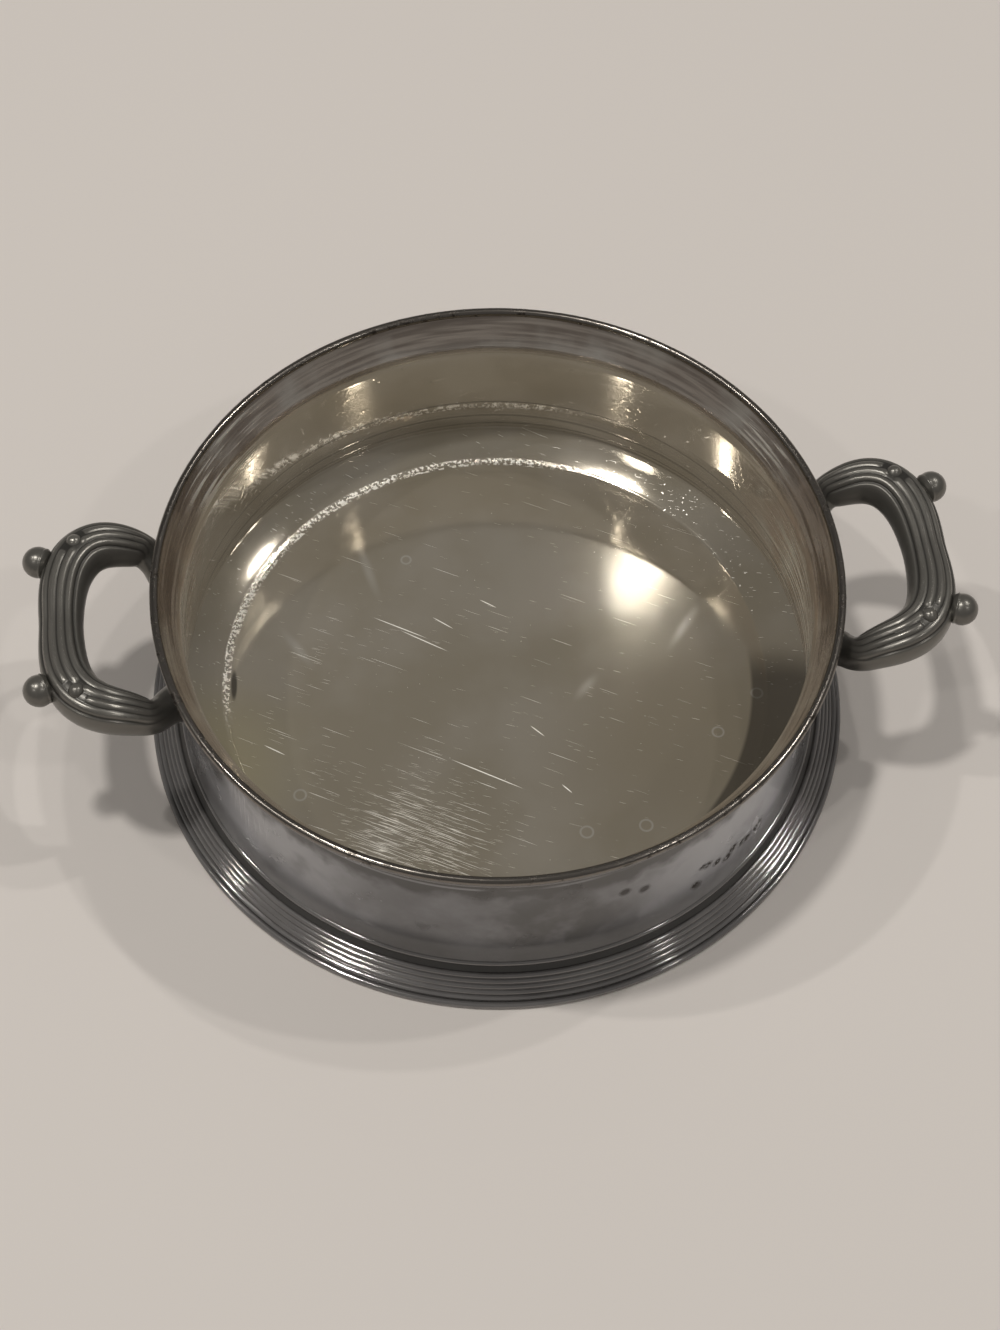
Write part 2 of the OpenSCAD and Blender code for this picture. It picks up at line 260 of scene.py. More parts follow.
class BowlSizes(bpy.types.PropertyGroup):
    """Sizes of the turned pieces."""

    rim_r: length("Rim radius", "Radius to the centre of the bead", 105.4)
    rim_z: length("Rim height", "Height of the bead's centre", 69.8)
    bead_r: length("Bead", "Radius of the bead's section", 1.35)
    bead_land: length("Bead land", "Width of the bead's flat beyond the wall", 0.3)
    wall_t: length("Wall", "Thickness of the wall", 1)
    waist_in: length("Waist", "How far the waist lies inside the bead", 6.4)
    waist_drop: length("Waist depth", "Depth of the waist below the bead", 11.8)
    waist_bend: length("Waist bend", "Radius of the bend under the lip", 9)
    base_out: length("Base", "How far the base stands out beyond the waist", 2.2)
    flare_h: length("Flare height", "Height of the base's flare above the foot", 8)
    flare_r: length("Flare radius", "Radius of the base's flare", 30)
    toe_gain: length("Toe", "How far the inside widens at the toe", 1)
    border_reeds: count("Rim reeds", "Fine reeds under the rim", 2)
    border_pitch: length("Rim reed pitch", "Spacing of the rim's reeds", 2)
    border_r: length("Rim reed", "Radius of a rim reed", 1.05)
    border_drop: length("Rim reed drop", "Distance of the first reed from the lip's top", 2.4)
    floor_sink: length("Floor sink", "Depth of the floor below the toe", 1)
    floor_edge: length("Floor edge", "Width of the floor's raised edge", 12.5)
    seam_rise: length("Seam", "Height of the floor's seam above the toe", 3.2)
    floor_t: length("Floor", "Thickness of the floor", 1.1)
    foot_out: length("Foot spread", "How far the foot spreads beyond the base", 12.5)
    foot_h: length("Foot height", "Height of the foot", 11)
    flange_t: length("Foot sheet", "Thickness of the foot", 1.3)
    ridge_r: length("Ridge", "Radius of the ridge round the foot's top", 0.95)
    foot_reeds: count("Foot reeds", "Fine reeds on the foot", 4)
    foot_pitch: length("Foot reed pitch", "Spacing of the foot's reeds", 1.74)
    foot_reed_r: length("Foot reed", "Radius of a foot reed", 1)
    bold_r: length("Bold reed", "Radius of the bold reed", 1.25)
    wire_r: length("Foot wire", "Radius of the wire round the foot", 1.1)
    wire_flat: length("Wire flat", "Depth of the flat that the wire stands on", 0.15)
    wire_seat: length("Wire seat", "Distance from the wire's centre to its soldered face", 0.7)


class HandleSizes(bpy.types.PropertyGroup):
    """Sizes of the cast handles with their knobs and studs."""

    loop_out: length("Reach", "Distance from the waist to the middle of the oval", 13.3)
    loop_len: length("Half length", "Half length of the oval", 22.3)
    loop_half: length("Half width", "Half width of the oval", 31.1)
    grip_rise: length("Grip rise", "Height of the grip above the waist", 3.6)
    arm_drop: length("Arm drop", "Drop of the arms to the wall", 16.5)
    grip_w: length("Grip", "Width of the grip at its middle", 13.5)
    corner_w: length("Corner", "Width of the handle at its corners", 15.2)
    arm_w: length("Arm", "Width of an arm at the wall", 8.8)
    top_reeds: count("Reeds", "Reeds over the handle's top", 4)
    reed_depth: length("Reed depth", "Depth of the grooves", 0.5)
    knob_d: length("Knob", "Diameter of a ball knob", 9.9)
    knob_stand: length("Knob stand", "Distance of a ball's centre from the grip's side", 2)
    knob_lift: length("Knob lift", "Height of the knobs above the grip's centre", 2.1)
    stud_d: length("Stud", "Diameter of a stud's head", 5.2)
    stud_h: length("Stud height", "Height of a stud's head", 2.7)
    stud_spot: length("Stud seat", "Depth of a stud's seat", 1.8)
    stud_out: length("Stud place", "Distance of a stud from the centre line", 1.5)
    pad_t: length("Pad", "Thickness of the pads", 1)


class BowlFinishes(bpy.types.PropertyGroup):
    """Colours of the metals and of the table."""

    silver: colour("Silver", "Polished silver inside", (0.77, 0.73, 0.67))
    silver_dull: colour("Dulled silver", "Silver under a thin film", (0.66, 0.615, 0.545))
    floor: colour("Floor", "Hazy silver of the floor", (0.53, 0.484, 0.402))
    floor_dull: colour("Dulled floor", "Silver of the floor under a film", (0.46, 0.412, 0.322))
    floor_film: colour("Floor film", "Browner film on the right part of the floor", (0.4, 0.345, 0.25))
    floor_yellow: colour("Yellowed floor", "Silver of the floor under a yellow film", (0.55, 0.495, 0.33))
    # Scratches, pits and the rough ring, also the colour of the painted highlights inside and of the strokes
    # of painted light on the floor
    silver_scratch_and_glint: colour("Scratched silver", "Scratches, pits and the rough ring", (0.88, 0.86, 0.8))
    silver_copper: colour("Coppery silver", "Brown film on the wall's inside", (0.62, 0.48, 0.385))
    lip_dark: colour("Dark lip", "Dark streaks of the lip's inside", (0.34, 0.288, 0.248))
    lip_pale: colour("Pale lip", "Pale streaks of the lip's inside", (0.6, 0.528, 0.462))
    bead: colour("Bead", "Worn silver of the bead", (0.21, 0.195, 0.175))
    bead_warm: colour("Warm bead", "Brown places of the bead", (0.23, 0.205, 0.183))
    # Dirt in nicks and pits, also the colour of the painted dark reflection along the floor's right edge
    dirt_and_dark_reflection: colour("Dirt", "Dirt in nicks and pits", (0.06, 0.052, 0.045))
    pewter: colour("Pewter", "Tarnished outside", (0.2, 0.196, 0.198))
    pewter_pale: colour("Pale pewter", "Paler clouds of the outside", (0.3, 0.298, 0.308))
    # Ripples and paler places of the outside; the paler sides are a painted reflection of the lit table
    pewter_worn_and_reflection: colour("Worn pewter", "Ripples and paler places of the outside", (0.68, 0.68, 0.705))
    # Stains of the outside, also the colour of the painted dark reflections under the rim and low on the
    # wall
    pewter_stain_and_dark_reflection: colour("Dark pewter", "Stains of the outside", (0.1, 0.095, 0.09))
    reed: colour("Reeds", "Tarnished reeds of the foot and the border", (0.25, 0.24, 0.237))
    reed_pale: colour("Pale reeds", "Paler places of the reeds", (0.28, 0.27, 0.265))
    reed_dark: colour("Reed grooves", "Grooves between the reeds", (0.11, 0.105, 0.1))
    tarnish: colour("Tarnish", "Dark cast handles", (0.17, 0.162, 0.145))
    tarnish_worn: colour("Worn tarnish", "Rubbed crests of the handles", (0.26, 0.247, 0.22))
    tarnish_deep: colour("Deep tarnish", "Grooves of the handles", (0.062, 0.059, 0.053))
    table: colour("Table", "Pale table", (0.74, 0.695, 0.655))


def in_mm(group):
    """The group's values as plain numbers, with its lengths in millimetres."""
    values = {}
    for name in group.__annotations__:
        value = getattr(group, name)
        values[name] = value if isinstance(value, int) else value / MM
    return SimpleNamespace(**values)


def bowl_lines(context):
    """Sizes of the turned pieces with the places worked out from them, in millimetres."""
    b = in_mm(context.scene.bowl_sizes)
    seat_w = b.wall_t + b.bead_land
    b.bead_seat = sqrt(b.bead_r**2 - seat_w**2 / 4)
    b.lip = Vector((b.rim_r + b.wall_t / 2, b.rim_z - b.bead_seat))
    b.waist = Vector((b.rim_r - b.waist_in, b.rim_z - b.waist_drop))
    b.base = Vector((b.waist.x + b.base_out, b.foot_h + b.flare_h))
    b.toe_in = b.base.x - b.wall_t + b.toe_gain
    b.toe_out = flared_r(b, b.foot_h)
    b.floor_z = b.foot_h - b.floor_sink
    b.floor_r = b.toe_in - b.floor_edge
    b.seam_z = b.foot_h + b.seam_rise
    b.foot_r = b.base.x + b.foot_out
    b.wire_c = Vector((b.foot_r - b.wire_r, b.wire_r - b.wire_flat))
    b.wire_in = b.wire_c.x - b.wire_seat
    return b


def handle_lines(context):
    """Sizes of the handles with the places worked out from them, in millimetres."""
    b = bowl_lines(context)
    h = in_mm(context.scene.handle_sizes)
    h.bowl = b
    h.loop_x = b.waist.x + h.loop_out
    h.level_x = h.loop_x + LEVEL_PART * h.loop_len
    h.grip_z = b.waist.y + h.grip_rise
    return h


# General geometry


def mix(a, b, t):
    """The value at t between a and b."""
    return a + (b - a) * t


def smooth(t):
    """An eased step from 0 to 1."""
    t = min(1.0, max(0.0, t))
    return t * t * (3 - 2 * t)


def wall_r(b, z):
    """Outside radius of the wall's straight part at height z."""
    return mix(b.base.x, b.waist.x, (z - b.base.y) / (b.waist.y - b.base.y))


def flared_r(b, z):
    """Outside radius of the wall at height z, with the flare of its base."""
    return wall_r(b, z) + b.flare_r - sqrt(b.flare_r**2 - max(0.0, b.base.y - z) ** 2)


def bend(a, corner, c, r):
    """Points of the arc of radius r that rounds a corner."""
    u = (a - corner).normalized()
    v = (c - corner).normalized()
    half = acos(u.dot(v)) / 2
    centre = corner + (u + v).normalized() * (r / sin(half))
    p = corner + u * (r / tan(half)) - centre
    q = corner + v * (r / tan(half)) - centre
    return [centre + p.lerp(q, i / ARC_STEPS).normalized() * r for i in range(ARC_STEPS + 1)]


def arc(centre, r, start, end, steps):
    """Points of an arc between two directions in radians."""
    angles = [mix(start, end, i / steps) for i in range(steps + 1)]
    return [centre + Vector((cos(t), sin(t))) * r for t in angles]


def line(a, b, steps):
    """Points along a straight line, without its end."""
    return [a.lerp(b, i / steps) for i in range(steps)]


# Nodes


def set_inputs(node, inputs):
    """Links sockets to a node's inputs, or sets their values."""
    for key, value in inputs.items():
        if isinstance(value, bpy.types.NodeSocket):
            node.id_data.links.new(value, node.inputs[key])
        else:
            node.inputs[key].default_value = value


def add(tree, kind, inputs=None, out=0, **settings):
    """Adds a node and returns one of its outputs."""
    node = tree.nodes.new(kind)
    for key, value in settings.items():
        setattr(node, key, value)
    set_inputs(node, inputs or {})
    return node.outputs[out]


def dot(tree, vector, direction):
    """The part of a vector that lies along a direction."""
    return add(tree, "ShaderNodeVectorMath", {0: vector, 1: direction}, "Value", operation="DOT_PRODUCT")


def eased(tree, value, low, high, start=0.0, end=1.0):
    """An eased step from a start at low to an end at high."""
    inputs = {"Value": value, "From Min": low, "From Max": high, "To Min": start, "To Max": end}
    return add(tree, "ShaderNodeMapRange", inputs, interpolation_type="SMOOTHSTEP")


def turning_tree():
    """Turns a profile of edges round the Z axis, with shallow dents and a second finish inside."""
    tree = bpy.data.node_groups.get("Turning")
    if tree:
        return tree
    tree = bpy.data.node_groups.new("Turning", "GeometryNodeTree")
    sockets = {
        "Profile": "NodeSocketGeometry",
        "Segments": "NodeSocketInt",
        "Dent depth": "NodeSocketFloat",
        "Dent scale": "NodeSocketFloat",
        "Finish": "NodeSocketMaterial",
        "Inside finish": "NodeSocketMaterial",
    }
    for name, kind in sockets.items():
        tree.interface.new_socket(name=name, in_out="INPUT", socket_type=kind)
    tree.interface.new_socket(name="Turned", in_out="OUTPUT", socket_type="NodeSocketGeometry")
    given = tree.nodes.new("NodeGroupInput").outputs
    profile = add(tree, "GeometryNodeMeshToCurve", {"Mesh": given["Profile"]})
    ring = {"Resolution": given["Segments"], "Radius": AXIS_R}
    circle = add(tree, "GeometryNodeCurvePrimitiveCircle", ring)
    upright = add(tree, "GeometryNodeSetCurveNormal", {"Curve": circle}, mode="Z_UP")
    skin = add(tree, "GeometryNodeCurveToMesh", {"Curve": upright, "Profile Curve": profile})
    merged = add(tree, "GeometryNodeMergeByDistance", {"Geometry": skin, "Distance": 1e-6})
    place = add(tree, "GeometryNodeInputPosition")
    waves = {"Vector": place, "Scale": given["Dent scale"], "Detail": 2.0}
    noise = add(tree, "ShaderNodeTexNoise", waves, out="Fac")
    raised = add(tree, "ShaderNodeMath", {0: noise, 1: 0.5}, operation="SUBTRACT")
    depth = add(tree, "ShaderNodeMath", {0: raised, 1: given["Dent depth"]}, operation="MULTIPLY")
    normal = add(tree, "GeometryNodeInputNormal")
    offset = add(tree, "ShaderNodeVectorMath", {0: normal, "Scale": depth}, operation="SCALE")
    dented = add(tree, "GeometryNodeSetPosition", {"Geometry": merged, "Offset": offset})
    shaded = add(tree, "GeometryNodeSetShadeSmooth", {"Geometry": dented})
    inside = add(tree, "GeometryNodeInputNamedAttribute", {"Name": "inside"}, data_type="FLOAT")
    chosen = add(
        tree, "FunctionNodeCompare", {0: inside, 1: 0.5}, data_type="FLOAT", operation="GREATER_THAN"
    )
    real = add(tree, "GeometryNodeRealizeInstances", {"Geometry": shaded})
    outer = add(tree, "GeometryNodeSetMaterial", {"Geometry": real, "Material": given["Finish"]})
    lining = {"Geometry": outer, "Selection": chosen, "Material": given["Inside finish"]}
    both = add(tree, "GeometryNodeSetMaterial", lining)
    result = tree.nodes.new("NodeGroupOutput")
    tree.links.new(both, result.inputs["Turned"])
    return tree


def profile_mesh(name, points, crest, inside):
    """Edges through points of radius and height in millimetres, left open if they start on the axis."""
    closed = points[0][0] > 0.0
    mesh = bpy.data.meshes.new(name)
    n = len(points)
    edges = [(i, i + 1) for i in range(n - 1)] + ([(n - 1, 0)] if closed else [])
    mesh.from_pydata([(p[0] * MM - AXIS_R, -p[1] * MM, 0.0) for p in points], edges, [])
    for key, values in (("crest", crest), ("inside", inside)):
        layer = mesh.attributes.new(key, "FLOAT", "POINT")
        layer.data.foreach_set("value", values)
    return mesh


def turned(
    name, points, finish, lining=None, crest=None, inside=None, steps=RING_STEPS, dent=0.0, dent_scale=1.0
):
    """A plain mesh turned from a profile, with a lining where the profile is marked as inside."""
    crest = crest or [0.5] * len(points)
    inside = inside or [0.0] * len(points)
    profile = profile_mesh(name + ".profile", points, crest, inside)
    source = bpy.data.objects.new(name + ".profile", profile)
    bpy.context.scene.collection.objects.link(source)
    tree = turning_tree()
    modifier = source.modifiers.new("Turning", "NODES")
    modifier.node_group = tree
    keys = {item.name: item.identifier for item in tree.interface.items_tree if item.in_out == "INPUT"}
    modifier[keys["Segments"]] = steps
    modifier[keys["Dent depth"]] = dent * MM
    modifier[keys["Dent scale"]] = dent_scale
    modifier[keys["Finish"]] = finish
    modifier[keys["Inside finish"]] = lining or finish
    shown = bpy.context.evaluated_depsgraph_get()
    mesh = bpy.data.meshes.new_from_object(source.evaluated_get(shown), depsgraph=shown)
    mesh.name = name
    bpy.data.objects.remove(source)
    bpy.data.meshes.remove(profile)
    return mesh


def place_piece(name, mesh, nodes, sharp=35.0):
    """Puts a mesh in the scene as a piece that stands for CAD nodes."""
    shape = bmesh.new()
    shape.from_mesh(mesh)
    bmesh.ops.recalc_face_normals(shape, faces=shape.faces)
    shape.to_mesh(mesh)
    shape.free()
    mesh.set_sharp_from_angle(angle=radians(sharp))
    piece = bpy.data.objects.new(name, mesh)
    bpy.context.scene.collection.objects.link(piece)
    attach(piece, BODY)
    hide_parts(*nodes)
    return piece


# Finishes


class Finish:
    """A metal whose nodes are added step by step."""

    def __init__(self, name):
        self.material = bpy.data.materials.new(name)
        self.material.use_nodes = True
        self.tree = self.material.node_tree
        self.shader = self.tree.nodes["Principled BSDF"]
        self.at = add(self.tree, "ShaderNodeTexCoord", out="Object")
        self.base = None

    def math(self, operation, a, b=0.0):
        """One sum or comparison."""
        return add(self.tree, "ShaderNodeMath", {0: a, 1: b}, operation=operation)

    def plus(self, a, b):
        """The sum of two values."""
        return self.math("ADD", a, b)

    def times(self, a, b):
        """The product of two values."""
        return self.math("MULTIPLY", a, b)

    def without(self, mask):
        """The opposite of a mask."""
        return self.math("SUBTRACT", 1.0, mask)

    def between(self, value, low, high):
        """An eased step from 0 at low to 1 at high."""
        return eased(self.tree, value, low, high)

    def stretched(self, scale, turn=(0.0, 0.0, 0.0)):
        """The piece's coordinates, turned and then scaled."""
        spun = add(self.tree, "ShaderNodeMapping", {"Vector": self.at, "Rotation": turn})
        return add(self.tree, "ShaderNodeMapping", {"Vector": spun, "Scale": scale})

    def noise(self, size, detail=3.0, vector=None, roughness=0.5):
        """Noise whose features are about size millimetres wide, or 1 unit of the vector given."""
        scale = 1.0 if vector else 1.0 / (size * MM)
        inputs = {"Vector": vector or self.at, "Scale": scale, "Detail": detail, "Roughness": roughness}
        return add(self.tree, "ShaderNodeTexNoise", inputs, out="Fac")

    def patches(self, size, detail, low, high, roughness=0.5):
        """A mask of soft patches, about size millimetres wide."""
        return self.between(self.noise(size, detail, roughness=roughness), low, high)

    def radius(self):
        """Distance from the bowl's axis in metres."""
        plan = {0: self.at, 1: (1.0, 1.0, 0.0)}
        flat = add(self.tree, "ShaderNodeVectorMath", plan, operation="MULTIPLY")
        return add(self.tree, "ShaderNodeVectorMath", {0: flat}, "Value", operation="LENGTH")

    def away(self, place):
        """Distance from a place in millimetres, in metres."""
        spot = [v * MM for v in place]
        return add(self.tree, "ShaderNodeVectorMath", {0: self.at, 1: spot}, "Value", operation="DISTANCE")

    def height(self):
        """Height above the table in metres."""
        return add(self.tree, "ShaderNodeSeparateXYZ", {"Vector": self.at}, out="Z")

    def attribute(self, name):
        """A value that the piece's mesh carries."""
        return add(self.tree, "ShaderNodeAttribute", out="Fac", attribute_name=name)

    def blend(self, amount, a, b):
        """A colour between two others."""
        node = self.tree.nodes.new("ShaderNodeMix")
        node.data_type = "RGBA"
        for key, value in ((MIX_FACTOR, amount), (MIX_A, a), (MIX_B, b)):
            if isinstance(value, bpy.types.NodeSocket):
                self.tree.links.new(value, node.inputs[key])
            else:
                node.inputs[key].default_value = value if key == MIX_FACTOR else (*value, 1.0)
        return node.outputs[MIX_RESULT]

    def near(self, place, inner, outer):
        """A mask that is 1 within a distance of a place and fades to 0 at another, all in millimetres."""
        return self.without(self.between(self.away(place), inner * MM, outer * MM))

    def regions(self, rows, level=0.0):
        """The strongest of several soft regions, whose heights count from a level in millimetres."""
        masks = []
        for (x, y, z), inner, outer, strength in rows:
            masks.append(self.scaled(self.near((x, y, z + level), inner, outer), strength))
        return self.most(*masks)

    def band(self, value, middle, inner, outer):
        """A mask that is 1 where a value in metres is close to a middle in millimetres."""
        off = self.math("ABSOLUTE", self.math("SUBTRACT", value, middle * MM))
        return self.without(self.between(off, inner * MM, outer * MM))

    def most(self, *masks):
        """The largest of several masks."""
        top = masks[0]
        for mask in masks[1:]:
            top = self.math("MAXIMUM", top, mask)
        return top

    def scaled(self, value, factor, start=0.0):
        """A value times a factor, counted from a start."""
        result = self.math("MULTIPLY_ADD", value, factor)
        result.node.inputs[2].default_value = start
        return result

    def scratches(self, turn, long, thin, rarity, more):
        """Straight fine scratches in one direction, more of them where a mask says so."""
        spread = self.stretched((1 / (long * MM), 1 / (thin * MM), 1 / MM), (0.0, 0.0, radians(turn)))
        return self.between(self.plus(self.noise(1, 1.0, spread), more), rarity, rarity + 0.06)

    def stroke(self, start, end, wide, soft=0.5):
        """A straight mark with pointed ends between two places of the plan, as a mask."""
        a, b = Vector(start), Vector(end)
        turn = atan2(b.y - a.y, b.x - a.x)
        inputs = {
            "Vector": self.at,
            "Location": ((a + b) / 2 * MM).to_3d(),
            "Rotation": (0.0, 0.0, turn),
            "Scale": ((b - a).length / 2 * MM, wide / 2 * MM, 1000.0),
        }
        spot = add(self.tree, "ShaderNodeMapping", inputs, vector_type="TEXTURE")
        off = add(self.tree, "ShaderNodeVectorMath", {0: spot}, out="Value", operation="LENGTH")
        return self.without(self.between(off, soft, 1.0))

    def bump(self, height, depth, below=None):
        """Relief of the given depth in millimetres, on top of another."""
        inputs = {"Height": height, "Distance": depth * MM, "Strength": 1.0}
        if below:
            inputs["Normal"] = below
        return add(self.tree, "ShaderNodeBump", inputs)

    def lay(self, colour_over, mask, strength=1.0):
        """Lays a colour over the base where a mask says so."""
        self.base = self.blend(self.scaled(mask, strength), self.base, colour_over)

    def done(self, roughness, normal, metallic=1.0, spun=0.0):
        """Joins the parts to the shader and returns the material. Spun metal draws lights out."""
        inputs = {"Base Color": self.base, "Metallic": metallic, "Roughness": roughness, "Normal": normal}
        if spun:
            inputs |= {"Anisotropic": spun, "Tangent": self.at}
        set_inputs(self.shader, inputs)
        return self.material


def known(make):
    """Makes a finish once and then finds it again by name."""

    def find(context):
        name = make.__name__
        made = bpy.data.materials.get(name)
        return made or make(Finish(name), context.scene.bowl_finishes, bowl_lines(context))

    return find


@known
def polished_floor(f, c, b):
    """Silver of the floor: films, scratches, pits, water rings, a rough ring, soft strokes of painted light
    and a painted dark reflection along the right edge.
    """
    z = b.floor_z
    f.base = f.blend(f.patches(38, 4.0, 0.35, 0.65), c.floor_dull, c.floor)
    f.lay(c.floor_film, f.regions(FLOOR_FILMED, z))
    f.lay(c.floor_yellow, f.regions(FLOOR_YELLOWED, z))

    worked = f.regions(FLOOR_WORKED, z)
    used = f.times(f.patches(30, 2.0, 0.4, 0.65), f.regions(FLOOR_USED, z))
    more = f.plus(f.scaled(worked, 0.135), f.scaled(used, 0.044))
    long_ones = f.scratches(29, 24, 0.24, 0.74, more)
    short_ones = f.scaled(f.scratches(22, 7, 0.2, 0.74, more), 0.6)
    strokes = [f.stroke(start, end, 0.5) for start, end in FLOOR_SCRATCHES]
    scored = f.most(long_ones, short_ones, *strokes)
    # Soft pale strokes of painted light, made a little rougher as well
    rubbed = f.most(*(f.stroke(start, end, 5, 0.0) for start, end in FLOOR_LIGHT_STREAKS))

    grain = f.patches(0.95, 2.0, 0.46, 0.58, roughness=0.6)
    rough_part = f.between(dot(f.tree, f.at, ROUGH_SIDE), ROUGH_FROM * MM, ROUGH_FULL * MM)
    rough_part = f.times(rough_part, f.patches(11, 2.0, 0.2, 0.55))
    ring = f.times(f.times(f.band(f.radius(), b.floor_r, 0.8, 1.7), grain), rough_part)
    more_pits = f.scaled(f.regions(FLOOR_PITTED, z), 0.08)
    pits = f.between(f.plus(f.noise(1.0, 1.0), more_pits), 0.77, 0.83)
    water = f.most(*(f.band(f.away((x, y, z)), size, 0.1, 0.5) for x, y, size in FLOOR_RINGS))
    marks = f.most(ring, scored, f.scaled(pits, 0.5))
    # Pale silver for the rough ring, scratches, pits and water rings, and for the strokes of painted light
    f.lay(c.silver_scratch_and_glint, f.most(marks, f.scaled(water, 0.4), f.scaled(rubbed, 0.3)))
    # Painted dark reflection along the floor's right edge, laid in the dirt colour together with a real dark
    # nick
    shaded = f.between(f.radius(), DARK_REFLECTION_FROM * MM, DARK_REFLECTION_FULL * MM)
    shaded = f.times(shaded, f.regions(FLOOR_DARK_REFLECTED, z))
    f.lay(c.dirt_and_dark_reflection, f.most(f.scaled(shaded, 0.7), f.scaled(f.stroke(*FLOOR_NICK, 2.6), 0.8)))

    risen = f.between(f.radius(), b.floor_r * MM, (b.floor_r + 2) * MM)
    rough = f.scaled(f.patches(26, 4.0, 0.3, 0.75), 0.04, 0.065)
    rough = f.plus(rough, f.scaled(risen, -0.02))
    rough = f.plus(rough, f.scaled(f.most(worked, rubbed), 0.05))
    rough = f.plus(rough, f.scaled(marks, 0.5))
    uneven = f.bump(f.noise(34, 1.0), 0.03)
    fine = f.noise(1, 1.0, f.stretched((1 / 0.014, 1 / 0.00012, 1 / MM), (0.0, 0.0, radians(29))))
    return f.done(rough, f.bump(ring, 0.06, f.bump(fine, 0.002, uneven)), metallic=0.66)


@known
def polished_inside(f, c, b):
    """Silver of the wall's inside: brown films, pale streaks of painted highlight on the wall and the lip,
    pits, spun lines low down and a darker lip.
    """
    z = f.height()
    level = add(f.tree, "ShaderNodeCombineXYZ", {"Z": z})
    turns = add(f.tree, "ShaderNodeMapping", {"Vector": level, "Scale": (1.0, 1.0, 1 / 0.0009)})
    spun = f.noise(1, 3.0, turns)
    drawn = f.noise(1, 3.0, f.stretched((1 / 0.03, 1 / 0.03, 1 / 0.0011)))
    f.base = f.blend(f.patches(30, 4.0, 0.35, 0.68), c.silver_dull, c.silver)
    f.lay(c.silver_copper, f.times(f.regions(INSIDE_FILMED), f.patches(12, 3.0, 0.3, 0.6)), 0.8)
    # Pale streaks of painted highlight along the spun lines, made rougher as well
    streaks = f.times(f.regions(INSIDE_PAINTED_GLINTS), f.between(drawn, 0.48, 0.58))
    f.lay(c.silver_scratch_and_glint, streaks, 0.8)
    f.lay(c.dirt_and_dark_reflection, f.patches(1.6, 2.0, 0.7, 0.75), 0.4)

    low = f.without(f.between(z, 17 * MM, 33 * MM))
    lines = f.most(f.band(z, 17, 0.2, 0.5), f.band(z, 22, 0.3, 0.8), f.band(z, 30, 0.2, 0.5))
    dark = f.scaled(f.times(low, f.between(spun, 0.4, 0.65)), 0.35)
    f.lay(c.bead, f.most(f.scaled(lines, 0.5), dark))
    lip = f.between(z, (b.waist.y - 3) * MM, (b.waist.y + 5) * MM)
    patchy = f.times(lip, f.patches(16, 3.0, 0.2, 0.6))
    f.lay(f.blend(f.between(drawn, 0.35, 0.65), c.lip_dark, c.lip_pale), patchy)
    # Pale streaks of painted highlight on the lip, made rougher as well
    lip_glints = f.times(f.regions(LIP_PAINTED_GLINTS), f.between(drawn, 0.5, 0.6))
    f.lay(c.silver_scratch_and_glint, lip_glints, 0.9)

    rough = f.scaled(f.patches(8, 4.0, 0.42, 0.72), 0.08, 0.03)
    rough = f.plus(rough, f.scaled(f.most(lip_glints, streaks), 0.4))
    dimples = f.times(f.patches(2.4, 2.0, 0.52, 0.72), f.patches(17, 2.0, 0.42, 0.6))
    waves = f.bump(dimples, -0.035, f.bump(f.noise(26, 1.0), 0.04))
    ribs = f.bump(f.times(drawn, lip), 0.1, f.bump(lines, -0.08, waves))
    return f.done(rough, f.bump(spun, 0.005, ribs), metallic=0.85, spun=0.3)


@known
def worn_bead(f, c, b):
    """Silver of the bead: rubbed bright, with dark nicks."""
    nicks = f.patches(3.0, 4.0, 0.55, 0.7, roughness=0.6)
    f.base = f.blend(f.noise(9, 3.0), c.bead, c.bead_warm)
    f.lay(c.dirt_and_dark_reflection, nicks)
    return f.done(f.scaled(nicks, 0.25, 0.2), f.bump(f.noise(1.4, 3.0), 0.012))


